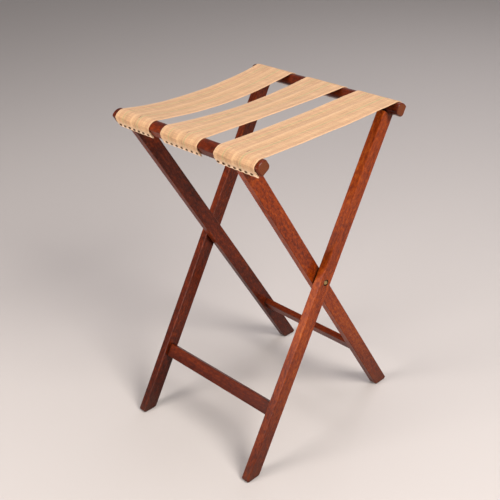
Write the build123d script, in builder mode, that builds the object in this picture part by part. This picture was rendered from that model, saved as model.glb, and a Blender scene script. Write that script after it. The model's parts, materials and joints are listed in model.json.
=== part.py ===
from build123d import *
import math
import os

# A folding luggage rack: two crossed wooden frames on a shared pivot, held open by three straps.
# X runs along the rails, Z is up, and the origin is on the floor at the centre.
# The outer frame leans towards +Y at the top, and the inner frame leans towards -Y.

# Frames
LEAN = 30.8                 # lean of each frame from upright, degrees
PIVOT_HEIGHT = 327.0        # pivot axis above the floor
LEG_WIDTH = 28.0            # across the leg, in the plane that it swings in
LEG_THICKNESS = 16.0        # along X
ARM = 313.5                 # pivot to the underside of a rail, along the leg
INNER_HALF_SPAN = 137.5     # centre to the outer faces of the inner legs
LEG_GAP = 2.0               # between an inner leg and the outer leg beside it
EDGE_EASE = 1.5             # rounding of the long edges
TOE_RADIUS = 4.0            # rounding of the sharp corner of a foot
HEEL_RADIUS = 8.0           # rounding of the blunt corner of a foot

# Rails
RAIL_LENGTH = 356.0
RAIL_WIDTH = 23.0
DOME_RADIUS = 18.0          # of the gently rounded top
DOME_OFFSET = 2.0           # dome's centre towards the outer side
DOME_RISE = 5.0             # dome's centre above the rail's underside
OUTER_EDGE_EASE = 3.2       # between the dome and the flat outer side
OUTER_LOWER_EASE = 6.0      # between the outer side and the underside
INNER_SHOULDER_EASE = 6.0   # between the dome and the inner side
INNER_LOWER_EASE = 7.0      # between the inner side and the underside
RAIL_END_EASE = 3.0

# Stretchers
STRETCHER_HEIGHT = 25.0     # along the leg
STRETCHER_THICKNESS = 12.0
STRETCHER_DROP = 250.0      # pivot to the stretcher's centre, along the leg

# Joinery
LEG_TENON = 8.0             # a square tenon on top of each leg
LEG_TENON_LENGTH = 16.0
STRETCHER_TENON_HEIGHT = 17.0
STRETCHER_TENON_THICKNESS = 7.0
STRETCHER_TENON_LENGTH = 10.0
MORTISE_SPARE = 0.5         # depth left past the end of a tenon

# Pivot hardware
SCREW_RADIUS = 3.0          # of the smooth shank that the outer leg turns on
SCREW_DEPTH = 12.0          # in the inner leg, which isn't drilled through
RUNNING_CLEARANCE = 0.05    # radial, between a screw and the outer leg
SIDE_CLEARANCE = 0.3        # along X, between a spacer washer and the outer leg
RECESS_RADIUS = 6.2
RECESS_DEPTH = 2.6
HEAD_CLEARANCE = 0.2        # along X, between a head and the floor of its recess
HEAD_RADIUS = 4.6
HEAD_HEIGHT = 2.4
HEAD_DOME = 1.6             # rounding of the head's rim
WASHER_RADIUS = 7.0

# Webbing
STRAP_WIDTH = 89.0
STRAP_PITCH = 123.5
STRAP_THICKNESS = 1.6
STRAP_SAG = {"left": 9.0, "middle": 4.0, "right": 1.7}    # slope where it leaves a rail, degrees
HEM_HEIGHT = 13.0           # turned-in end of a strap, on the outer side of a rail
HEM_THICKNESS = 1.3
HEM_RISE = 0.8              # lower edge of the hem above the rail's underside
SPAN_CLEARANCE = 0.3        # between a span and the wrap on the inner frame

# Tacks
TACKS_PER_END = 7
TACK_PITCH = 12.4
TACK_RISE = 6.0             # above the rail's underside
TACK_SHANK_RADIUS = 0.8
TACK_DEPTH = 5.0            # shank in the wood, short of the leg's tenon
TACK_HEAD_RADIUS = 2.3
TACK_HEAD_HEIGHT = 0.8
TACK_HEAD_EASE = 0.4

OUTER = 1                   # leans towards +Y
INNER = -1                  # leans towards -Y
RIGHT = 1
LEFT = -1

RAIL_HALF = RAIL_WIDTH / 2
DOME_CENTRE = ARM + DOME_RISE
OUTER_CORNER_ANGLE = math.degrees(math.acos((DOME_OFFSET - RAIL_HALF) / DOME_RADIUS))
INNER_CORNER_ANGLE = math.degrees(math.acos((DOME_OFFSET + RAIL_HALF) / DOME_RADIUS))

# The rounding of the outer side's upper edge, which touches the dome and the side.
EDGE_ACROSS = OUTER_EDGE_EASE - RAIL_HALF
EDGE_ALONG = DOME_CENTRE + math.sqrt(
    (DOME_RADIUS - OUTER_EDGE_EASE) ** 2 - (EDGE_ACROSS + DOME_OFFSET) ** 2
)
EDGE_ANGLE = math.degrees(math.atan2(EDGE_ALONG - DOME_CENTRE, EDGE_ACROSS + DOME_OFFSET))
OUTER_LEG_INNER_FACE = INNER_HALF_SPAN + LEG_GAP
LEG_CENTRE = {
    INNER: INNER_HALF_SPAN - LEG_THICKNESS / 2,
    OUTER: OUTER_LEG_INNER_FACE + LEG_THICKNESS / 2,
}
STRETCHER_HALF_SPAN = {INNER: INNER_HALF_SPAN - LEG_THICKNESS, OUTER: OUTER_LEG_INNER_FACE}
FRAME_NAME = {INNER: "inner", OUTER: "outer"}
SIDE_NAME = {LEFT: "left", RIGHT: "right"}
STRAPS = {"left": -STRAP_PITCH, "middle": 0.0, "right": STRAP_PITCH}
SIN_LEAN = math.sin(math.radians(LEAN))
COS_LEAN = math.cos(math.radians(LEAN))

os.makedirs("parts", exist_ok=True)


def frame_plane(frame, x=0.0):
    """A plane across X through the pivot. Its Y runs up the leg, its X towards the frame's upper face."""
    return Plane(origin=(x, 0, PIVOT_HEIGHT), x_dir=(0, -frame * COS_LEAN, SIN_LEAN), z_dir=(-frame, 0, 0))


def outer_side_plane(frame, depth=0.0):
    """The outer side of a frame's rail, moved inwards by depth. It faces out, at the rail's underside."""
    start = frame_plane(frame).from_local_coords(Vector(depth - RAIL_HALF, ARM, 0))
    return Plane(origin=start, x_dir=(1, 0, 0), z_dir=(0, frame * COS_LEAN, -SIN_LEAN))


def tack_places(frame):
    """Places of the tacks on outer_side_plane: a row on each strap's end, just above the underside."""
    # The plane's own Y runs down the side of one frame and up the side of the other.
    up = 1 if outer_side_plane(frame).y_dir.Z > 0 else -1
    places = []
    for strap_x in STRAPS.values():
        for i in range(TACKS_PER_END):
            x = strap_x + (i - (TACKS_PER_END - 1) / 2) * TACK_PITCH
            places.append((x, up * TACK_RISE))
    return places


def dome_point(radius, angle):
    """A point round the dome's centre, from the angle above the frame's upper side, degrees."""
    turn = math.radians(angle)
    return (radius * math.cos(turn) - DOME_OFFSET, DOME_CENTRE + radius * math.sin(turn))


def edge_point(radius, angle):
    """A point round the rounding of the outer side's upper edge, from the same direction."""
    turn = math.radians(angle)
    return (EDGE_ACROSS + radius * math.cos(turn), EDGE_ALONG + radius * math.sin(turn))


def save(piece, name):
    piece.part.label = name
    export_step(piece.part, f"parts/{name}.step")


# ---- Top rails ----

def top_rail(frame):
    """A bar with a domed top and a flat outer side, mortised for its legs and drilled for the tacks."""
    outer_corner = dome_point(DOME_RADIUS, OUTER_CORNER_ANGLE)
    inner_corner = dome_point(DOME_RADIUS, INNER_CORNER_ANGLE)
    with BuildPart() as rail:
        with BuildSketch(frame_plane(frame)) as section:
            with BuildLine():
                Line(inner_corner, (RAIL_HALF, ARM))
                Line((RAIL_HALF, ARM), (-RAIL_HALF, ARM))
                Line((-RAIL_HALF, ARM), outer_corner)
                ThreePointArc(outer_corner, dome_point(DOME_RADIUS, 90), inner_corner)
            make_face()
            # Each rounding remakes the outline, so its corner is picked afresh.
            fillet(section.vertices().group_by(Axis.X)[0].sort_by(Axis.Y)[0], OUTER_LOWER_EASE)
            fillet(section.vertices().group_by(Axis.X)[0].sort_by(Axis.Y)[-1], OUTER_EDGE_EASE)
            fillet(section.vertices().group_by(Axis.X)[-1].sort_by(Axis.Y)[0], INNER_LOWER_EASE)
            fillet(section.vertices().group_by(Axis.X)[-1].sort_by(Axis.Y)[-1], INNER_SHOULDER_EASE)
        extrude(amount=RAIL_LENGTH / 2, both=True)
        ends = rail.faces().filter_by(Axis.X)
        fillet(ends.edges(), RAIL_END_EASE)
        for side in (LEFT, RIGHT):
            with BuildSketch(frame_plane(frame, side * LEG_CENTRE[frame])):
                with Locations((0, ARM)):
                    Rectangle(
                        LEG_TENON, LEG_TENON_LENGTH + MORTISE_SPARE, align=(Align.CENTER, Align.MIN)
                    )
            extrude(amount=LEG_TENON / 2, both=True, mode=Mode.SUBTRACT)
        with BuildSketch(outer_side_plane(frame, TACK_DEPTH)):
            with Locations(tack_places(frame)):
                Circle(TACK_SHANK_RADIUS)
        extrude(amount=TACK_DEPTH, mode=Mode.SUBTRACT)
    return rail


# ---- Legs ----

def foot_end(across):
    """How far along the leg the floor is, on the line at this distance across the leg."""
    return -(PIVOT_HEIGHT + across * SIN_LEAN) / COS_LEAN


def leg(frame, side):
    """A flat bar cut level at the floor, with a tenon on top, a stretcher mortise and a pivot hole."""
    x = side * LEG_CENTRE[frame]
    plane = frame_plane(frame, x)
    half = LEG_WIDTH / 2
    # In the plane's own directions, +Z is towards -X on the outer frame and +X on the inner frame.
    inwards = side * frame
    with BuildPart() as bar:
        with BuildSketch(plane) as outline:
            with BuildLine():
                Polyline(
                    (-half, ARM), (half, ARM), (half, foot_end(half)), (-half, foot_end(-half)), close=True
                )
            make_face()
            lowest = outline.vertices().sort_by(Axis.Y)
            fillet(lowest[0], TOE_RADIUS)
            heel = outline.vertices().group_by(Axis.X)[0].sort_by(Axis.Y)[0]
            fillet(heel, HEEL_RADIUS)
        extrude(amount=LEG_THICKNESS / 2, both=True)
        long_edges = bar.edges().filter_by(Axis((0, 0, 0), tuple(plane.y_dir)))
        fillet(long_edges, EDGE_EASE)
        with BuildSketch(plane):
            with Locations((0, ARM)):
                Rectangle(LEG_TENON, LEG_TENON_LENGTH, align=(Align.CENTER, Align.MIN))
        extrude(amount=LEG_TENON / 2, both=True)
        with BuildSketch(plane.offset(inwards * LEG_THICKNESS / 2)):
            with Locations((0, -STRETCHER_DROP)):
                Rectangle(STRETCHER_TENON_THICKNESS, STRETCHER_TENON_HEIGHT)
        extrude(amount=-inwards * (STRETCHER_TENON_LENGTH + MORTISE_SPARE), mode=Mode.SUBTRACT)
        outer_face = plane.offset(-inwards * LEG_THICKNESS / 2)
        if frame == OUTER:
            with BuildSketch(outer_face):
                Circle(SCREW_RADIUS + RUNNING_CLEARANCE)
            extrude(amount=inwards * LEG_THICKNESS, mode=Mode.SUBTRACT)
            with BuildSketch(outer_face):
                Circle(RECESS_RADIUS)
            extrude(amount=inwards * RECESS_DEPTH, mode=Mode.SUBTRACT)
        else:
            with BuildSketch(outer_face):
                Circle(SCREW_RADIUS)
            extrude(amount=inwards * SCREW_DEPTH, mode=Mode.SUBTRACT)
    return bar


# ---- Stretchers ----

def stretcher(frame):
    """A cross bar between a frame's legs, with a tenon on each end."""
    plane = frame_plane(frame)
    half_span = STRETCHER_HALF_SPAN[frame]
    with BuildPart() as bar:
        with BuildSketch(plane):
            with Locations((0, -STRETCHER_DROP)):
                RectangleRounded(STRETCHER_THICKNESS, STRETCHER_HEIGHT, EDGE_EASE)
        extrude(amount=half_span, both=True)
        with BuildSketch(plane):
            with Locations((0, -STRETCHER_DROP)):
                Rectangle(STRETCHER_TENON_THICKNESS, STRETCHER_TENON_HEIGHT)
        extrude(amount=half_span + STRETCHER_TENON_LENGTH, both=True)
    return bar


# ---- Pivot hardware, on one side ----

HEAD_UNDERSIDE = OUTER_LEG_INNER_FACE + LEG_THICKNESS - RECESS_DEPTH + HEAD_CLEARANCE
SCREW_END = INNER_HALF_SPAN - SCREW_DEPTH


def pivot_plane(side, x):
    """A plane across the pivot axis at this distance from the centre, facing away from the centre."""
    return Plane(origin=(side * x, 0, PIVOT_HEIGHT), x_dir=(0, 1, 0), z_dir=(side, 0, 0))


def pivot_screw(side):
    """A domed screw, fast in the inner leg, with a smooth shank that the outer leg turns on."""
    with BuildPart() as screw:
        with BuildSketch(pivot_plane(side, SCREW_END)):
            Circle(SCREW_RADIUS)
        extrude(amount=HEAD_UNDERSIDE - SCREW_END)
        with BuildSketch(pivot_plane(side, HEAD_UNDERSIDE)):
            Circle(HEAD_RADIUS)
        extrude(amount=HEAD_HEIGHT)
        crown = screw.faces().filter_by(Axis.X).sort_by(Axis.X)[-1 if side == RIGHT else 0]
        fillet(crown.edges(), HEAD_DOME)
    return screw


def spacer_washer(side):
    """A washer that keeps a pair of legs apart. It lies on the inner leg."""
    with BuildPart() as ring:
        with BuildSketch(pivot_plane(side, INNER_HALF_SPAN)):
            Circle(WASHER_RADIUS)
            Circle(SCREW_RADIUS, mode=Mode.SUBTRACT)
        extrude(amount=LEG_GAP - SIDE_CLEARANCE)
    return ring


# ---- Webbing ----

def strap_wrap(frame, strap_name):
    """A strap's end: over the rail's top, down its outer side, and turned in to a hem that is tacked."""
    leaving = 90 - LEAN - STRAP_SAG[strap_name]
    dome_middle = (leaving + EDGE_ANGLE) / 2
    edge_middle = (EDGE_ANGLE + 180) / 2
    inside = DOME_RADIUS
    outside = DOME_RADIUS + STRAP_THICKNESS
    edge_inside = OUTER_EDGE_EASE
    edge_outside = OUTER_EDGE_EASE + STRAP_THICKNESS
    hem_face = -RAIL_HALF - STRAP_THICKNESS - HEM_THICKNESS
    bottom = ARM + HEM_RISE
    with BuildPart() as wrap:
        with BuildSketch(frame_plane(frame, STRAPS[strap_name])):
            with BuildLine():
                ThreePointArc(
                    dome_point(inside, leaving),
                    dome_point(inside, dome_middle),
                    dome_point(inside, EDGE_ANGLE),
                )
                ThreePointArc(
                    dome_point(inside, EDGE_ANGLE),
                    edge_point(edge_inside, edge_middle),
                    edge_point(edge_inside, 180),
                )
                Line(edge_point(edge_inside, 180), (-RAIL_HALF, bottom))
                Line((-RAIL_HALF, bottom), (hem_face, bottom))
                Line((hem_face, bottom), (hem_face, bottom + HEM_HEIGHT))
                Line((hem_face, bottom + HEM_HEIGHT), edge_point(edge_outside, 180))
                ThreePointArc(
                    edge_point(edge_outside, 180),
                    edge_point(edge_outside, edge_middle),
                    dome_point(outside, EDGE_ANGLE),
                )
                ThreePointArc(
                    dome_point(outside, EDGE_ANGLE),
                    dome_point(outside, dome_middle),
                    dome_point(outside, leaving),
                )
                Line(dome_point(outside, leaving), dome_point(inside, leaving))
            make_face()
        extrude(amount=STRAP_WIDTH / 2, both=True)
        with BuildSketch(outer_side_plane(frame)):
            with Locations(tack_places(frame)):
                Circle(TACK_SHANK_RADIUS)
        extrude(amount=STRAP_THICKNESS + HEM_THICKNESS, mode=Mode.SUBTRACT)
    return wrap


def strap_span(strap_name):
    """The hanging length of a strap, a shallow arc that leaves both rails' tops on a tangent."""
    dome_centre = frame_plane(OUTER).from_local_coords(Vector(-DOME_OFFSET, DOME_CENTRE, 0))
    sag = math.radians(STRAP_SAG[strap_name])
    arc_radius = (dome_centre.Y - DOME_RADIUS * math.sin(sag)) / math.sin(sag)
    arc_centre = dome_centre.Z + DOME_RADIUS * math.cos(sag) + arc_radius * math.cos(sag)
    inner_gap = SPAN_CLEARANCE / arc_radius

    def arc_point(radius, angle):
        return (radius * math.sin(angle), arc_centre - radius * math.cos(angle))

    lower = arc_radius
    upper = arc_radius - STRAP_THICKNESS
    start = -sag + inner_gap
    with BuildPart() as span:
        with BuildSketch(Plane.YZ.offset(STRAPS[strap_name])):
            with BuildLine():
                ThreePointArc(arc_point(lower, start), arc_point(lower, 0), arc_point(lower, sag))
                Line(arc_point(lower, sag), arc_point(upper, sag))
                ThreePointArc(arc_point(upper, sag), arc_point(upper, 0), arc_point(upper, start))
                Line(arc_point(upper, start), arc_point(lower, start))
            make_face()
        extrude(amount=STRAP_WIDTH / 2, both=True)
    return span


# ---- Tacks ----

def rail_tacks(frame):
    """All the tacks in one rail, each a round head on a short shank."""
    with BuildPart() as tacks:
        with BuildSketch(outer_side_plane(frame, TACK_DEPTH)):
            with Locations(tack_places(frame)):
                Circle(TACK_SHANK_RADIUS)
        extrude(amount=TACK_DEPTH + STRAP_THICKNESS + HEM_THICKNESS)
        head_plane = outer_side_plane(frame, -STRAP_THICKNESS - HEM_THICKNESS)
        with BuildSketch(head_plane):
            with Locations(tack_places(frame)):
                Circle(TACK_HEAD_RADIUS)
        extrude(amount=TACK_HEAD_HEIGHT)
        crowns = tacks.faces().filter_by(Axis((0, 0, 0), tuple(head_plane.z_dir)))
        crowns = crowns.group_by(Axis.Y)[-1 if frame == OUTER else 0]
        fillet(crowns.edges(), TACK_HEAD_EASE)
    return tacks


for frame in (OUTER, INNER):
    frame_name = FRAME_NAME[frame]
    save(top_rail(frame), f"{frame_name}_top_rail")
    save(stretcher(frame), f"{frame_name}_stretcher")
    save(rail_tacks(frame), f"{frame_name}_rail_tacks")
    for side in (LEFT, RIGHT):
        save(leg(frame, side), f"{frame_name}_leg_{SIDE_NAME[side]}")
    for strap_name in STRAPS:
        save(strap_wrap(frame, strap_name), f"webbing_{strap_name}_{frame_name}_wrap")

for side in (LEFT, RIGHT):
    side_name = SIDE_NAME[side]
    save(pivot_screw(side), f"pivot_screw_{side_name}")
    save(spacer_washer(side), f"leg_spacer_washer_{side_name}")

for strap_name in STRAPS:
    save(strap_span(strap_name), f"webbing_{strap_name}_span")
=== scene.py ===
import json
import math
import bpy
import numpy as np
from mathutils import Matrix, Vector, noise


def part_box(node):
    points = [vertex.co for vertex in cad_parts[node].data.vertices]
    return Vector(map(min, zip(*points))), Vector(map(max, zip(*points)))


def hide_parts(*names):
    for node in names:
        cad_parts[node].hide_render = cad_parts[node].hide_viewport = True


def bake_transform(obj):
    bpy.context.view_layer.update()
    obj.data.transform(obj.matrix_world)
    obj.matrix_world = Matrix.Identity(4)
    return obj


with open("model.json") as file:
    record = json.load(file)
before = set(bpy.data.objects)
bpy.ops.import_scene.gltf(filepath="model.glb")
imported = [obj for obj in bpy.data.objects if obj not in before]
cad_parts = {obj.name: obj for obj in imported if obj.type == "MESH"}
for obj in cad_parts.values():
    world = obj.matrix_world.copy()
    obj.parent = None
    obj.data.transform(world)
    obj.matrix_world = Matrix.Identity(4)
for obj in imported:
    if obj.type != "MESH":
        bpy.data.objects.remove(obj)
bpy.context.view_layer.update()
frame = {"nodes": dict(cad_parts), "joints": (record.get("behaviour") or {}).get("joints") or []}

# A folding luggage rack in stained, varnished wood with three woven straps.
# Metres. X runs along the rails, the rear rail is at +Y, and the floor is at Z = 0.


# ---- Camera ----

CAMERA_PLACE = (1.074, -1.0456, 1.1436)
CAMERA_AZIMUTH = 46.29      # degrees round, from looking along +Y
CAMERA_TILT = 28.92         # degrees downwards
CAMERA_ROLL = -2.03
CAMERA_LENS = 65.86         # mm, on a sensor 36 mm wide
CAMERA_SHIFT = (-0.0125, 0.0204)


def make_camera():
    data = bpy.data.cameras.new("camera")
    data.sensor_width = 36
    data.lens = CAMERA_LENS
    data.shift_x, data.shift_y = CAMERA_SHIFT
    camera = bpy.data.objects.new("camera", data)
    bpy.context.scene.collection.objects.link(camera)
    round_turn = Matrix.Rotation(math.radians(CAMERA_AZIMUTH), 4, "Z")
    tilt = Matrix.Rotation(math.radians(90 - CAMERA_TILT), 4, "X")
    roll = Matrix.Rotation(math.radians(CAMERA_ROLL), 4, "Z")
    camera.matrix_world = Matrix.Translation(CAMERA_PLACE) @ round_turn @ tilt @ roll
    bpy.context.scene.camera = camera


make_camera()


# ---- Sizes taken from the frame ----

RAIL_HALF = 0.0115          # half a rail's width
DOME_RADIUS = 0.018         # of a rail's rounded top
DOME_OFFSET = 0.002         # dome's centre towards the outer side
DOME_RISE = 0.005           # dome's centre above the rail's underside
EDGE_EASE = 0.0032          # rounding of the outer side's upper edge

pivot_height = frame["joints"][0]["pos_m"][2]
stretcher_low, stretcher_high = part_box("outer_stretcher")
stretcher_centre = (stretcher_low + stretcher_high) / 2
lean = math.atan2(-stretcher_centre.y, pivot_height - stretcher_centre.z)
dome_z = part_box("outer_top_rail")[1].z - DOME_RADIUS
dome_along = (dome_z - pivot_height + DOME_OFFSET * math.sin(lean)) / math.cos(lean)
dome_y = dome_along * math.sin(lean) + DOME_OFFSET * math.cos(lean)
underside = dome_along - DOME_RISE
edge_across = EDGE_EASE - RAIL_HALF
edge_rise = math.sqrt((DOME_RADIUS - EDGE_EASE) ** 2 - (edge_across + DOME_OFFSET) ** 2)
edge_along = dome_along + edge_rise
edge_angle = math.atan2(edge_rise, edge_across + DOME_OFFSET)       # round the dome, to its outer edge


# ---- Building nodes ----

MIX_FIRST, MIX_SECOND, MIX_RESULT = 6, 7, 2     # colour sockets of a Mix node


def feed(tree, socket, value):
    """Gives a socket its value, or links it to another socket."""
    if isinstance(value, bpy.types.NodeSocket):
        tree.links.new(value, socket)
    else:
        socket.default_value = value


def add_node(tree, kind, values=None, **settings):
    made = tree.nodes.new(kind)
    for name, setting in settings.items():
        setattr(made, name, setting)
    for name, value in (values or {}).items():
        feed(tree, made.inputs[name], value)
    return made


def maths(tree, operation, *values, clamp=False):
    return add_node(
        tree, "ShaderNodeMath", dict(enumerate(values)), operation=operation, use_clamp=clamp
    ).outputs[0]


def vector_maths(tree, operation, *values):
    return add_node(tree, "ShaderNodeVectorMath", dict(enumerate(values)), operation=operation).outputs[0]


def fade(tree, value, start, end, low=0.0, high=1.0):
    """Low below start, high past end, and smooth between them."""
    settings = {"Value": value, "From Min": start, "From Max": end, "To Min": low, "To Max": high}
    return add_node(tree, "ShaderNodeMapRange", settings, interpolation_type="SMOOTHSTEP").outputs[0]


def mix_colours(tree, amount, first, second, way="MIX"):
    made = add_node(tree, "ShaderNodeMix", {"Factor": amount}, data_type="RGBA", blend_type=way)
    feed(tree, made.inputs[MIX_FIRST], first)
    feed(tree, made.inputs[MIX_SECOND], second)
    return made.outputs[MIX_RESULT]


def colour_ramp(tree, value, stops):
    made = add_node(tree, "ShaderNodeValToRGB", {"Fac": value})
    elements = made.color_ramp.elements
    while len(elements) < len(stops):
        elements.new(0.5)
    for element, (position, colour) in zip(elements, stops):
        element.position = position
        element.color = colour
    return made.outputs["Color"]


def cloudy(tree, place, cells, detail=3.0, roughness=0.55, distortion=0.0):
    """Noise with this many cells to the metre along each axis, about 0.5 on average."""
    stretched = vector_maths(tree, "MULTIPLY", place, cells)
    settings = {"Vector": stretched, "Scale": 1.0, "Detail": detail, "Roughness": roughness}
    made = add_node(tree, "ShaderNodeTexNoise", settings)
    made.inputs["Distortion"].default_value = distortion
    return made.outputs["Fac"]


def spread_of(tree, value, amount):
    """How far value is from one half, times amount."""
    return maths(tree, "MULTIPLY", maths(tree, "SUBTRACT", value, 0.5), amount)


def new_group(name, inputs, outputs):
    """A shader group with these sockets. An input is a kind and a default, or None for no default."""
    group = bpy.data.node_groups.new(name, "ShaderNodeTree")
    for socket, (kind, default) in inputs.items():
        made = group.interface.new_socket(socket, in_out="INPUT", socket_type=kind)
        if default is not None:
            made.default_value = default
    for socket, kind in outputs.items():
        group.interface.new_socket(socket, in_out="OUTPUT", socket_type=kind)
    return group, group.nodes.new("NodeGroupInput").outputs, group.nodes.new("NodeGroupOutput").inputs


def use_group(tree, group, values):
    made = tree.nodes.new("ShaderNodeGroup")
    made.node_tree = group
    for name, value in values.items():
        feed(tree, made.inputs[name], value)
    return made.outputs


def new_material(name):
    material = bpy.data.materials.new(name)
    material.use_nodes = True
    tree = material.node_tree
    return material, tree, tree.nodes["Principled BSDF"]


def bump(tree, shader, height, distance):
    made = add_node(tree, "ShaderNodeBump", {"Height": height, "Distance": distance})
    tree.links.new(made.outputs["Normal"], shader.inputs["Normal"])


def paint(name, material):
    """Puts a material on every slot of a CAD node."""
    data = frame["nodes"][name].data
    if not data.materials:
        data.materials.append(material)
    for i in range(len(data.materials)):
        data.materials[i] = material


FLOAT, VECTOR, COLOUR = "NodeSocketFloat", "NodeSocketVector", "NodeSocketColor"


# ---- Effects that several finishes share ----

STAIN = [
    (0.00, (0.008, 0.001, 0.001, 1)),
    (0.30, (0.034, 0.004, 0.001, 1)),
    (0.48, (0.105, 0.013, 0.002, 1)),
    (0.62, (0.215, 0.030, 0.002, 1)),
    (0.80, (0.360, 0.078, 0.006, 1)),
    (1.00, (0.520, 0.170, 0.030, 1)),
]


def make_stained_grain():
    """Dark stain taken unevenly by the wood. The grain runs along Place's Z."""
    group, given, out = new_group(
        "stained_grain",
        {"Place": (VECTOR, None), "Tone": (FLOAT, 0.5), "Fleck": (FLOAT, 1.0)},
        {"Color": COLOUR, "Roughness": FLOAT, "Height": FLOAT},
    )
    place = given["Place"]
    figure = cloudy(group, place, (230, 230, 120), detail=5, roughness=0.7, distortion=0.3)
    fibre = cloudy(group, place, (950, 950, 24), detail=3, roughness=0.6)
    band = cloudy(group, place, (34, 34, 5), detail=2)
    tone = maths(group, "ADD", given["Tone"], spread_of(group, band, 0.40))
    flecked = maths(group, "MULTIPLY", spread_of(group, figure, 0.75), given["Fleck"])
    tone = maths(group, "ADD", tone, flecked)
    tone = maths(group, "ADD", tone, spread_of(group, fibre, 0.26))
    colour = colour_ramp(group, tone, STAIN)
    pore = fade(group, cloudy(group, place, (1300, 1300, 75), detail=2), 0.60, 0.70)
    dark = mix_colours(group, 1.0, colour, (0.35, 0.30, 0.30, 1), "MULTIPLY")
    group.links.new(mix_colours(group, maths(group, "MULTIPLY", pore, 0.8), colour, dark), out["Color"])
    rough = maths(group, "ADD", 0.36, spread_of(group, figure, 0.25))
    group.links.new(maths(group, "ADD", rough, maths(group, "MULTIPLY", pore, 0.2)), out["Roughness"])
    height = maths(group, "SUBTRACT", maths(group, "MULTIPLY", fibre, 0.35), pore)
    group.links.new(maths(group, "ADD", height, spread_of(group, band, 0.8)), out["Height"])
    return group


def make_worn_edge():
    """Finds the edges of a piece that hands and cases have rubbed, in patches."""
    group, given, out = new_group(
        "worn_edge",
        {"Place": (VECTOR, None), "Width": (FLOAT, 0.003), "Amount": (FLOAT, 1.0)},
        {"Mask": FLOAT},
    )
    rounded = add_node(group, "ShaderNodeBevel", {"Radius": given["Width"]}, samples=6)
    surface = group.nodes.new("ShaderNodeNewGeometry")
    product = add_node(
        group,
        "ShaderNodeVectorMath",
        {0: rounded.outputs["Normal"], 1: surface.outputs["Normal"]},
        operation="DOT_PRODUCT",
    )
    edge = fade(group, maths(group, "SUBTRACT", 1.0, product.outputs["Value"]), 0.015, 0.16)
    patches = fade(group, cloudy(group, given["Place"], (70, 70, 28), detail=4, roughness=0.7), 0.36, 0.62)
    mask = maths(group, "MULTIPLY", maths(group, "MULTIPLY", edge, patches), given["Amount"])
    group.links.new(mask, out["Mask"])
    return group


def make_corner_shade():
    """Finds the corners and gaps by occlusion, where painted shade darkens the colour."""
    group, given, out = new_group("corner_shade", {"Reach": (FLOAT, 0.006)}, {"Mask": FLOAT})
    shade = add_node(group, "ShaderNodeAmbientOcclusion", {"Distance": given["Reach"]}, samples=6)
    group.links.new(fade(group, shade.outputs["AO"], 0.85, 0.35), out["Mask"])
    return group


def make_tarnish():
    """Patches of tarnish and fine pits on small metal parts."""
    group, given, out = new_group(
        "tarnish", {"Place": (VECTOR, None), "Cells": (FLOAT, 400.0)}, {"Mask": FLOAT, "Height": FLOAT}
    )
    scaled = vector_maths(group, "SCALE", given["Place"])
    feed(group, scaled.node.inputs["Scale"], given["Cells"])
    patches = add_node(group, "ShaderNodeTexNoise", {"Vector": scaled, "Scale": 1.0, "Detail": 5.0})
    pits = add_node(group, "ShaderNodeTexNoise", {"Vector": scaled, "Scale": 6.0, "Detail": 2.0})
    group.links.new(fade(group, patches.outputs["Fac"], 0.38, 0.62), out["Mask"])
    group.links.new(pits.outputs["Fac"], out["Height"])
    return group


stained_grain = make_stained_grain()
worn_edge = make_worn_edge()
corner_shade = make_corner_shade()
tarnish = make_tarnish()


# ---- Wood ----

# Near-black painted shade, laid into corners and gaps by the occlusion mask.
CORNER_SHADE_COLOUR = (0.010, 0.005, 0.004, 1)
RUBBED_STAIN = (0.30, 0.080, 0.018, 1)
SCUFFED_FOOT = (0.060, 0.026, 0.018, 1)
END_GRAIN = (0.070, 0.018, 0.008, 1)
SCUFF_HEIGHT = 0.07
# Painted shade: below this height the wood is darkened more and more towards the floor, in this tint.
LOW_SHADE_HEIGHT = 0.33
LOW_SHADE_TINT = (0.50, 0.45, 0.50, 1)


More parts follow.
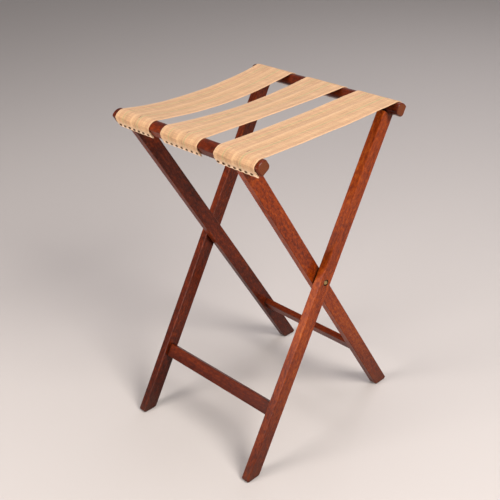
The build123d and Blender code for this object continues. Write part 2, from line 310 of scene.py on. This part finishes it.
def wood_finish(name, turn, shift, tone, fleck=1.0, end_grain=False):
    """Stained and varnished wood. Turn brings the piece's length onto Z, and shift picks its own grain."""
    material, tree, shader = new_material(name)
    place = tree.nodes.new("ShaderNodeTexCoord").outputs["Object"]
    along = add_node(
        tree, "ShaderNodeMapping", {"Vector": place, "Rotation": turn, "Location": shift}
    ).outputs["Vector"]
    grain = use_group(tree, stained_grain, {"Place": along, "Tone": tone, "Fleck": fleck})
    worn = use_group(tree, worn_edge, {"Place": along, "Width": 0.0035, "Amount": 0.55})["Mask"]
    # Occlusion mask for painted shade in corners and gaps.
    corner_shaded = use_group(tree, corner_shade, {"Reach": 0.007})["Mask"]
    colour = mix_colours(tree, worn, grain["Color"], RUBBED_STAIN)

    height = add_node(tree, "ShaderNodeSeparateXYZ", {"Vector": place}).outputs["Z"]
    low = fade(tree, height, SCUFF_HEIGHT, 0.0)
    scratches = fade(tree, cloudy(tree, along, (260, 260, 60), detail=5, roughness=0.75), 0.42, 0.60)
    scuffed = maths(tree, "MULTIPLY", maths(tree, "MULTIPLY", low, scratches), 0.6)
    # Painted shade, darker towards the floor.
    painted_shade = mix_colours(tree, fade(tree, height, LOW_SHADE_HEIGHT, 0.0), (1, 1, 1, 1), LOW_SHADE_TINT)
    colour = mix_colours(tree, 1.0, colour, painted_shade, "MULTIPLY")
    colour = mix_colours(tree, scuffed, colour, SCUFFED_FOOT)
    rough = maths(tree, "ADD", grain["Roughness"], maths(tree, "MULTIPLY", worn, 0.12))

    if end_grain:
        normal = tree.nodes.new("ShaderNodeNewGeometry").outputs["Normal"]
        facing = add_node(tree, "ShaderNodeSeparateXYZ", {"Vector": normal}).outputs["X"]
        sawn = fade(tree, maths(tree, "ABSOLUTE", facing), 0.75, 0.97)
        rings = add_node(
            tree,
            "ShaderNodeTexWave",
            {"Vector": along, "Scale": 190.0, "Distortion": 3.0, "Detail": 3.0, "Detail Scale": 1.6},
            wave_type="RINGS",
            rings_direction="Z",
        )
        ring = maths(tree, "MULTIPLY", rings.outputs["Fac"], 0.5)
        ringed = mix_colours(tree, ring, END_GRAIN, RUBBED_STAIN)
        colour = mix_colours(tree, maths(tree, "MULTIPLY", sawn, 0.8), colour, ringed)
        rough = maths(tree, "ADD", rough, maths(tree, "MULTIPLY", sawn, 0.18))

    # Painted shade in corners and gaps.
    colour = mix_colours(tree, maths(tree, "MULTIPLY", corner_shaded, 0.85), colour, CORNER_SHADE_COLOUR)
    tree.links.new(colour, shader.inputs["Base Color"])
    rough = maths(tree, "ADD", rough, maths(tree, "MULTIPLY", scuffed, 0.3))
    tree.links.new(rough, shader.inputs["Roughness"])
    varnish = maths(tree, "SUBTRACT", 0.24, maths(tree, "MULTIPLY", scuffed, 0.16))
    varnish = maths(tree, "SUBTRACT", varnish, maths(tree, "MULTIPLY", worn, 0.1))
    tree.links.new(varnish, shader.inputs["Coat Weight"])
    shader.inputs["Specular IOR Level"].default_value = 0.08
    shader.inputs["Coat Roughness"].default_value = 0.20
    shader.inputs["Coat IOR"].default_value = 1.5
    shader.inputs["IOR"].default_value = 1.45
    bump(tree, shader, grain["Height"], 0.00025)
    return material


def finish_wood():
    across = (0, -math.pi / 2, 0)
    legs = {
        "outer_leg_left": 0.46,
        "outer_leg_right": 0.60,
        "inner_leg_left": 0.44,
        "inner_leg_right": 0.58,
    }
    for number, (name, tone) in enumerate(legs.items()):
        turn = lean if name.startswith("outer") else -lean
        paint(name, wood_finish(f"{name}_wood", (turn, 0, 0), (0.37 * number, 0.21 * number, 0.5), tone))
    for number, name in enumerate(("outer_stretcher", "inner_stretcher")):
        paint(name, wood_finish(f"{name}_wood", across, (0.1, 0.3 + number, 0.7), 0.5, fleck=0.6))
    for number, name in enumerate(("outer_top_rail", "inner_top_rail")):
        shift = (-dome_z, 0.4 + number, 0.2)
        paint(name, wood_finish(f"{name}_wood", across, shift, 0.42, fleck=0.7, end_grain=True))


finish_wood()


# ---- Small metal parts ----

def metal_finish(name, clean, tarnished, cells, clean_rough, tarnished_rough):
    material, tree, shader = new_material(name)
    place = tree.nodes.new("ShaderNodeTexCoord").outputs["Object"]
    patches = use_group(tree, tarnish, {"Place": place, "Cells": cells})
    worn = use_group(tree, worn_edge, {"Place": place, "Width": 0.0008, "Amount": 0.8})["Mask"]
    # Painted shade in corners and gaps, from occlusion.
    corner_shaded = use_group(tree, corner_shade, {"Reach": 0.003})["Mask"]
    colour = mix_colours(tree, patches["Mask"], clean, tarnished)
    colour = mix_colours(tree, worn, colour, clean)
    tree.links.new(mix_colours(tree, corner_shaded, colour, CORNER_SHADE_COLOUR), shader.inputs["Base Color"])
    rough = fade(tree, patches["Mask"], 0.0, 1.0, clean_rough, tarnished_rough)
    tree.links.new(rough, shader.inputs["Roughness"])
    shader.inputs["Metallic"].default_value = 0.9
    bump(tree, shader, patches["Height"], 0.0001)
    return material


def finish_metal():
    brass = metal_finish("aged_brass", (0.46, 0.31, 0.12, 1), (0.10, 0.06, 0.03, 1), 350.0, 0.28, 0.55)
    steel = metal_finish("dull_steel", (0.42, 0.42, 0.41, 1), (0.14, 0.12, 0.10, 1), 300.0, 0.35, 0.6)
    rusty = metal_finish("rusty_tack", (0.200, 0.120, 0.070, 1), (0.110, 0.052, 0.026, 1), 500.0, 0.5, 0.75)
    for side in ("left", "right"):
        paint(f"pivot_screw_{side}", brass)
        paint(f"leg_spacer_washer_{side}", steel)
    for rail in ("outer", "inner"):
        paint(f"{rail}_rail_tacks", rusty)


finish_metal()


# ---- Webbing: shape ----

CLOTH = 0.0013              # thickness
SLACK = 0.0001              # between two layers
HEM_FACE = 0.0144           # from a frame's middle plane to the outside of the tacked hem
HEM_RISE = 0.0008           # the hem's lower edge above the rail's underside
HEM_HEIGHT = 0.013
TURN_LENGTH = 0.003         # of cloth in the turn at the hem's lower edge
TACK_PITCH = 0.0124
TACKS = 7
TACK_RISE = 0.006           # above the rail's underside
PUCKER_DEPTH = 0.0006
PUCKER_REACH = 0.0030
FLUTE_DEPTH = 0.0005
SCALLOP = 0.0009
COLUMNS = 61
FLAP_ROWS, TURN_ROWS, SIDE_ROWS, EDGE_ROWS, DOME_ROWS, SPAN_ROWS = 5, 6, 14, 5, 18, 36

# The slope at the rails in degrees, at the left and right edges; how far the strap sits to the right
# on the front and rear rails; how rippled the span is; and the pulled thread near the front rail,
# from the strap's middle line and the hem's lower edge.
STRAPS = {
    "left": {"sag": (9.5, 8.5), "shift": (0.002, -0.001), "ripple": 0.6, "pull": (0.010, 0.033)},
    "middle": {"sag": (7.1, 1.2), "shift": (-0.0015, 0.0035), "ripple": 1.0, "pull": (0.006, 0.038)},
    "right": {"sag": (1.5, 1.8), "shift": (0.0035, 0.001), "ripple": 0.8, "pull": (0.0075, 0.046)},
}
PULL_LENGTH = 0.014
PULL_BEND = 9.0             # how much the pulled thread curves, to the metre


def smooth(value):
    value = np.clip(value, 0, 1)
    return value * value * (3 - 2 * value)


def on_rear_frame(across, along):
    """(y, z) of a place on the frame that leans to the rear, from its pivot."""
    y = along * math.sin(lean) - across * math.cos(lean)
    z = pivot_height + along * math.cos(lean) + across * math.sin(lean)
    return np.stack([y + 0 * z, z + 0 * y], axis=-1)


def half_strap(sag):
    """The strap's middle line from its turned-in end on the rear rail to the middle of the span,
    and each point's height above the rail's underside, measured over the cloth."""
    lift = SLACK + CLOTH / 2
    inner = RAIL_HALF + lift
    outer = HEM_FACE - CLOTH / 2
    turn_radius = (outer - inner) / 2
    turn_along = underside + HEM_RISE + CLOTH / 2 + turn_radius
    hem_top = underside + HEM_RISE + HEM_HEIGHT
    flap = np.linspace(hem_top, turn_along, FLAP_ROWS, endpoint=False)
    turning = np.linspace(0, math.pi, TURN_ROWS, endpoint=False)
    side = np.linspace(turn_along, edge_along, SIDE_ROWS, endpoint=False)
    settled = outer + (inner - outer) * smooth((side - hem_top) / (edge_along - hem_top))
    bend = np.linspace(math.pi, edge_angle, EDGE_ROWS, endpoint=False)
    edge_radius = EDGE_EASE + lift
    leaving = math.pi / 2 - lean - sag
    over = np.linspace(edge_angle, leaving, DOME_ROWS, endpoint=False)
    over_radius = DOME_RADIUS + lift
    arc_radius = (dome_y - over_radius * math.sin(sag)) / math.sin(sag)
    arc_top = dome_z + (over_radius + arc_radius) * math.cos(sag)
    hanging = np.linspace(sag, 0, SPAN_ROWS)
    points = np.concatenate([
        on_rear_frame(-inner, flap),
        on_rear_frame(
            -(inner + outer) / 2 + turn_radius * np.cos(turning), turn_along - turn_radius * np.sin(turning)
        ),
        on_rear_frame(-settled, side),
        on_rear_frame(edge_across + edge_radius * np.cos(bend), edge_along + edge_radius * np.sin(bend)),
        on_rear_frame(over_radius * np.cos(over) - DOME_OFFSET, dome_along + over_radius * np.sin(over)),
        np.stack([arc_radius * np.sin(hanging), arc_top - arc_radius * np.cos(hanging)], axis=-1),
    ])
    steps = np.linalg.norm(np.diff(points, axis=0), axis=1)
    length = np.concatenate([[0], np.cumsum(steps)])
    height = length - length[FLAP_ROWS + TURN_ROWS] + turn_along - underside
    return points, height


def strap_line(sag):
    """The whole middle line, front to rear, with height as half_strap gives it on both halves."""
    points, height = half_strap(sag)
    front = points * (-1, 1)
    line = np.concatenate([front, points[-2::-1]])
    return line, np.concatenate([height, height[-2::-1]])


def ripple_profile(across):
    """Lengthwise folds across a strap, from hanging between two rails: a low ridge and two troughs."""
    ridge = np.exp(-(((across + 0.002) / 0.005) ** 2))
    trough = np.exp(-(((across + 0.017) / 0.007) ** 2)) + 0.8 * np.exp(-(((across - 0.014) / 0.006) ** 2))
    return ridge - trough


def pulled_line(height, pull):
    """Where a pulled thread lies across the strap, and how strong it is, at a height from the hem."""
    along = height - pull[1]
    return pull[0] + PULL_BEND * along * along, smooth(1.15 - 2 * abs(along) / PULL_LENGTH)


def relief(across, height, length, half_rows, facts):
    """How far the cloth stands out from its smooth surface, by column and row."""
    on_outside = np.arange(len(height))
    on_outside = np.minimum(on_outside, len(height) - 1 - on_outside) >= FLAP_ROWS + TURN_ROWS
    at_tack = 0.5 + 0.5 * math.cos(2 * math.pi * across / TACK_PITCH)
    out = np.zeros(len(height))
    for i in range(TACKS):
        tack = (i - (TACKS - 1) / 2) * TACK_PITCH
        gap = (across - tack) ** 2 + (height - TACK_RISE) ** 2
        out -= PUCKER_DEPTH * np.exp(-gap / (2 * PUCKER_REACH ** 2))
    uneven = 0.7 + 0.6 * noise.noise(Vector((across * 60, 3.1, facts["seed"])))
    out -= FLUTE_DEPTH * uneven * at_tack * smooth((0.034 - height) / 0.026) * smooth(height / 0.006)
    hanging = smooth((height - 0.045) / 0.07)
    out += 0.0011 * facts["ripple"] * ripple_profile(across) * hanging
    for i in range(len(height)):
        spot = Vector((across * 22, length[i] * 7, facts["seed"]))
        fine = Vector((across * 70, length[i] * 26, facts["seed"] + 5))
        out[i] += hanging[i] * 0.0011 * noise.noise(spot) + 0.00035 * noise.noise(fine)
    middle, strength = pulled_line(height, facts["pull"])
    furrow = strength * np.exp(-(((across - middle) / 0.0011) ** 2))
    furrow[half_rows:] = 0
    out -= 0.0008 * furrow
    return out * on_outside


def strap_mesh(name, left, right, facts):
    """A grid over the strap's middle surface, with its flat size in the 'cloth' map."""
    middle = (left + right) / 2
    width = right - left
    sag_left, sag_right = facts["sag"]
    columns, cloth_map = [], []
    for k in range(COLUMNS):
        share = k / (COLUMNS - 1)
        across = (share - 0.5) * width
        sag = math.radians(sag_left + (sag_right - sag_left) * share)
        line, height = strap_line(sag)
        half_rows = len(line) // 2
        steps = np.linalg.norm(np.diff(line, axis=0), axis=1)
        length = np.concatenate([[0], np.cumsum(steps)])
        slope = np.gradient(line, axis=0)
        slope /= np.linalg.norm(slope, axis=1, keepdims=True)
        outwards = np.stack([-slope[:, 1], slope[:, 0]], axis=-1)
        out = relief(across, height, length, half_rows, facts)
        between_tacks = 0.5 - 0.5 * math.cos(2 * math.pi * across / TACK_PITCH)
        drop = SCALLOP * between_tacks * smooth((0.007 - height) / 0.006)
        placed = line + outwards * out[:, None]
        rear = np.arange(len(line)) > half_rows
        across_rail = np.where(rear, -math.sin(lean), math.sin(lean))
        down_leg = np.stack([across_rail, np.full(len(line), -math.cos(lean))], axis=-1)
        placed += down_leg * drop[:, None]
        edge = abs(2 * share - 1) ** 6 * (1 if share > 0.5 else -1)
        wander = [0.0005 * edge * noise.noise(Vector((s * 45, 7.7, facts["seed"] + share))) for s in length]
        crossing = np.clip(0.5 + placed[:, 0] / (2 * dome_y), 0, 1)
        shift = facts["shift"][0] + (facts["shift"][1] - facts["shift"][0]) * crossing
        x = middle + across + shift + np.array(wander)
        columns.append(np.column_stack([x, placed]))
        cloth_map.append(np.column_stack([np.full(len(line), across), length - length[-1] / 2]))
    rows = len(columns[0])
    points = np.concatenate(columns)
    flat = np.concatenate(cloth_map)
    faces = []
    for k in range(COLUMNS - 1):
        for r in range(rows - 1):
            a = k * rows + r
            faces.append((a, a + rows, a + rows + 1, a + 1))
    data = bpy.data.meshes.new(name)
    data.from_pydata(points.tolist(), [], faces)
    layer = data.uv_layers.new(name="cloth")
    corner_points = np.zeros(len(data.loops), np.int32)
    data.loops.foreach_get("vertex_index", corner_points)
    layer.data.foreach_set("uv", flat[corner_points].astype(np.float32).ravel())
    data.validate()
    return data, float(flat[:, 1].max() - flat[:, 1].min())


def thicken(strap):
    """Gives the sheet its thickness and a small rounding on its edges, and applies both."""
    solid = strap.modifiers.new("thickness", "SOLIDIFY")
    solid.thickness = CLOTH
    solid.offset = 0
    solid.use_even_offset = False
    rounding = strap.modifiers.new("selvedge", "BEVEL")
    rounding.width = CLOTH * 0.32
    rounding.segments = 2
    rounding.limit_method = "ANGLE"
    rounding.angle_limit = math.radians(60)
    bpy.context.view_layer.update()
    made = bpy.data.meshes.new_from_object(strap.evaluated_get(bpy.context.evaluated_depsgraph_get()))
    strap.modifiers.clear()
    strap.data = made
    made.shade_smooth()


# ---- Webbing: finish ----

FLAX = (0.570, 0.345, 0.190, 1)
PALE = (0.720, 0.480, 0.275, 1)
SAGE = (0.360, 0.360, 0.165, 1)
PINK_BROWN = (0.490, 0.230, 0.135, 1)
SHADED = (0.390, 0.235, 0.125, 1)

# Stripes woven along the webbing: middle and half width in mm from the middle line, colour, strength.
STRIPES = [
    (-39.0, 3.0, PALE, 0.40),
    (-33.0, 2.6, PINK_BROWN, 0.55),
    (-24.0, 1.8, SAGE, 0.70),
    (-17.0, 3.4, SHADED, 0.50),
    (-8.0, 2.2, PINK_BROWN, 0.55),
    (-1.5, 3.4, PALE, 0.65),
    (8.0, 1.8, SHADED, 0.40),
    (14.0, 2.2, SAGE, 0.70),
    (21.0, 2.0, PINK_BROWN, 0.40),
    (30.0, 4.0, PALE, 0.45),
    (38.0, 2.2, PINK_BROWN, 0.45),
]


def make_stripe():
    """A soft-edged stripe along the webbing that comes and goes with the yarn."""
    group, given, out = new_group(
        "woven_stripe",
        {"Across": (FLOAT, 0.0), "Along": (FLOAT, 0.0), "Middle": (FLOAT, 0.0), "Half Width": (FLOAT, 2.0)},
        {"Mask": FLOAT},
    )
    gap = maths(group, "ABSOLUTE", maths(group, "SUBTRACT", given["Across"], given["Middle"]))
    edge = maths(group, "DIVIDE", gap, given["Half Width"])
    spot = add_node(group, "ShaderNodeCombineXYZ", {"X": given["Middle"], "Y": given["Along"]}).outputs[0]
    strength = fade(group, cloudy(group, spot, (0.7, 0.012, 1), detail=3), 0.25, 0.62, 0.25, 1.0)
    group.links.new(maths(group, "MULTIPLY", fade(group, edge, 1.15, 0.3), strength), out["Mask"])
    return group


def make_weave():
    """Threads both ways, uneven in thickness and colour. Across and Along are in millimetres."""
    group, given, out = new_group(
        "canvas_weave", {"Across": (FLOAT, 0.0), "Along": (FLOAT, 0.0)}, {"Shade": FLOAT, "Height": FLOAT}
    )
    spot = add_node(group, "ShaderNodeCombineXYZ", {"X": given["Across"], "Y": given["Along"]}).outputs[0]
    wander = spread_of(group, cloudy(group, spot, (0.25, 0.05, 1), detail=2), 1.6)
    warp = maths(group, "SINE", maths(group, "MULTIPLY", maths(group, "ADD", given["Across"], wander), 4.6))
    weft = maths(group, "SINE", maths(group, "MULTIPLY", maths(group, "ADD", given["Along"], wander), 3.4))
    over = maths(group, "MULTIPLY", warp, weft)
    warp_yarn = cloudy(group, spot, (1.5, 0.035, 1), detail=3, roughness=0.6)
    weft_yarn = cloudy(group, spot, (0.05, 1.3, 1), detail=3, roughness=0.6)
    slub = cloudy(group, spot, (0.8, 0.4, 1), detail=3, roughness=0.7)
    rib = cloudy(group, spot, (0.02, 0.42, 1), detail=2, roughness=0.5)
    shade = maths(group, "ADD", spread_of(group, warp_yarn, 1.1), spread_of(group, weft_yarn, 0.7))
    shade = maths(group, "ADD", shade, spread_of(group, slub, 0.35))
    shade = maths(group, "ADD", shade, spread_of(group, rib, 0.55))
    shade = maths(group, "ADD", shade, maths(group, "MULTIPLY", over, 0.10))
    group.links.new(maths(group, "ADD", shade, 0.5), out["Shade"])
    threads = maths(group, "ADD", maths(group, "MULTIPLY", warp, 0.45), maths(group, "MULTIPLY", weft, 0.55))
    threads = maths(group, "ADD", threads, maths(group, "MULTIPLY", over, 0.5))
    threads = maths(group, "ADD", threads, spread_of(group, rib, 3.0))
    group.links.new(maths(group, "ADD", threads, spread_of(group, slub, 1.6)), out["Height"])
    return group


def make_pulled_thread_shadow():
    """A short curved dark line along the furrow where a thread has been pulled: painted shadow in that
    furrow.
    """
    group, given, out = new_group(
        "pulled_thread_shadow",
        {"Across": (FLOAT, 0.0), "Along": (FLOAT, 0.0), "Half Length": (FLOAT, 6.0), "Bend": (FLOAT, 0.01)},
        {"Mask": FLOAT},
    )
    curve = maths(group, "MULTIPLY", maths(group, "MULTIPLY", given["Along"], given["Along"]), given["Bend"])
    gap = maths(group, "ABSOLUTE", maths(group, "SUBTRACT", given["Across"], curve))
    side = fade(group, gap, 1.5, 0.2)
    end = fade(group, maths(group, "ABSOLUTE", given["Along"]), given["Half Length"], 0.0)
    group.links.new(maths(group, "MULTIPLY", side, end), out["Mask"])
    return group


woven_stripe = make_stripe()
canvas_weave = make_weave()
pulled_thread_shadow = make_pulled_thread_shadow()

# Painted shadow along the pulled thread's furrow.
FURROW_SHADOW = (0.10, 0.035, 0.015, 1)
SELVEDGE = (0.700, 0.450, 0.270, 1)
RUBBED_HEM = (0.900, 0.640, 0.420, 1)


def webbing_finish(name, width, length, facts):
    material, tree, shader = new_material(name)
    flat = add_node(tree, "ShaderNodeUVMap", uv_map="cloth").outputs["UV"]
    in_millimetres = vector_maths(tree, "MULTIPLY", flat, (1000, 1000, 1000))
    split = add_node(tree, "ShaderNodeSeparateXYZ", {"Vector": in_millimetres})
    across, along = split.outputs["X"], split.outputs["Y"]
    colour = FLAX
    for middle, half_width, yarn, strength in STRIPES:
        places = {"Across": across, "Along": along, "Middle": middle, "Half Width": half_width}
        mask = use_group(tree, woven_stripe, places)["Mask"]
        colour = mix_colours(tree, maths(tree, "MULTIPLY", mask, strength), colour, yarn)
    weave = use_group(tree, canvas_weave, {"Across": across, "Along": along})
    light = mix_colours(tree, 1.0, colour, (1.12, 1.09, 1.02, 1), "MULTIPLY")
    dark = mix_colours(tree, 1.0, colour, (0.66, 0.62, 0.56, 1), "MULTIPLY")
    colour = mix_colours(tree, fade(tree, weave["Shade"], 0.15, 0.85), dark, light)
    edge = fade(tree, maths(tree, "ABSOLUTE", across), width * 500 - 2.4, width * 500 - 1.2)
    colour = mix_colours(tree, maths(tree, "MULTIPLY", edge, 0.5), colour, SELVEDGE)
    lower_edge = (length / 2 - HEM_HEIGHT - TURN_LENGTH) * 1000
    from_middle = maths(tree, "ABSOLUTE", along)
    rubbed = fade(tree, from_middle, lower_edge - 14, lower_edge - 3)
    frayed = fade(tree, from_middle, lower_edge - 4, lower_edge - 0.5)
    colour = mix_colours(tree, maths(tree, "MULTIPLY", rubbed, 0.40), colour, RUBBED_HEM)
    colour = mix_colours(tree, maths(tree, "MULTIPLY", frayed, 0.60), colour, RUBBED_HEM)
    pull_across, pull_height = facts["pull"]
    pull_along = pull_height * 1000 - lower_edge
    places = {
        "Across": maths(tree, "SUBTRACT", across, pull_across * 1000),
        "Along": maths(tree, "SUBTRACT", along, pull_along),
        "Half Length": PULL_LENGTH * 500,
        "Bend": PULL_BEND / 1000,
    }
    # Painted shadow along the furrow of the pulled thread.
    furrow_shadow = use_group(tree, pulled_thread_shadow, places)["Mask"]
    colour = mix_colours(tree, maths(tree, "MULTIPLY", furrow_shadow, 0.95), colour, FURROW_SHADOW)
    # Painted shade from occlusion: the cloth is darkened where it meets the rail and round the tacks.
    corner_shaded = use_group(tree, corner_shade, {"Reach": 0.003})["Mask"]
    painted_shade = mix_colours(tree, 1.0, colour, (0.45, 0.36, 0.28, 1), "MULTIPLY")
    tree.links.new(mix_colours(tree, corner_shaded, colour, painted_shade), shader.inputs["Base Color"])
    tree.links.new(fade(tree, weave["Shade"], 0.0, 1.0, 0.95, 0.78), shader.inputs["Roughness"])
    shader.inputs["Specular IOR Level"].default_value = 0.25
    shader.inputs["Sheen Weight"].default_value = 0.18
    shader.inputs["Sheen Roughness"].default_value = 0.5
    shader.inputs["Sheen Tint"].default_value = (1.0, 0.88, 0.74, 1)
    bump(tree, shader, weave["Height"], 0.0003)
    return material


def make_straps():
    for number, (name, facts) in enumerate(STRAPS.items()):
        facts["seed"] = 1.7 + 2.3 * number
        low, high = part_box(f"webbing_{name}_span")
        data, length = strap_mesh(f"{name}_strap", low.x, high.x, facts)
        strap = bpy.data.objects.new(f"{name}_strap", data)
        bpy.context.scene.collection.objects.link(strap)
        thicken(strap)
        strap.data.materials.append(webbing_finish(f"{name}_webbing", high.x - low.x, length, facts))
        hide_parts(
            f"webbing_{name}_span", f"webbing_{name}_outer_wrap", f"webbing_{name}_inner_wrap"
        )
        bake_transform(strap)


make_straps()


# ---- Floor and light ----

FLOOR_HALF = 7.0
FLOOR_DROP = 0.0002         # keeps the feet just clear of the floor


def make_floor():
    data = bpy.data.meshes.new("floor")
    corners = [(-1, -1), (1, -1), (1, 1), (-1, 1)]
    data.from_pydata([(x * FLOOR_HALF, y * FLOOR_HALF, -FLOOR_DROP) for x, y in corners], [], [(0, 1, 2, 3)])
    floor = bpy.data.objects.new("floor", data)
    bpy.context.scene.collection.objects.link(floor)
    material, tree, shader = new_material("studio_floor")
    shader.inputs["Base Color"].default_value = (0.48, 0.445, 0.42, 1)
    shader.inputs["Roughness"].default_value = 0.6
    data.materials.append(material)


def soft_light(name, place, size, power, colour):
    data = bpy.data.lights.new(name, "AREA")
    data.shape = "DISK"
    data.size = size
    data.energy = power
    data.color = colour
    light = bpy.data.objects.new(name, data)
    light.location = place
    aim = Vector((0, 0, 0.35)) - Vector(place)
    light.rotation_mode = "QUATERNION"
    light.rotation_quaternion = aim.to_track_quat("-Z", "Y")
    bpy.context.scene.collection.objects.link(light)


def make_light():
    soft_light("key_light", (2.1, -0.1, 2.1), 1.3, 98, (1.0, 0.96, 0.92))
    soft_light("front_light", (-0.6, -2.3, 1.2), 1.3, 62, (1.0, 0.95, 0.92))
    soft_light("top_light", (0.1, 0.5, 3.0), 2.0, 22, (0.95, 0.92, 1.0))
    soft_light("rear_light", (-0.8, 2.4, 2.2), 1.8, 14, (0.92, 0.92, 1.0))
    world = bpy.data.worlds.new("studio")
    world.use_nodes = True
    background = world.node_tree.nodes["Background"]
    background.inputs["Color"].default_value = (0.90, 0.86, 0.88, 1)
    background.inputs["Strength"].default_value = 0.30
    bpy.context.scene.world = world
    bpy.context.scene.view_settings.view_transform = "Standard"


make_floor()
make_light()
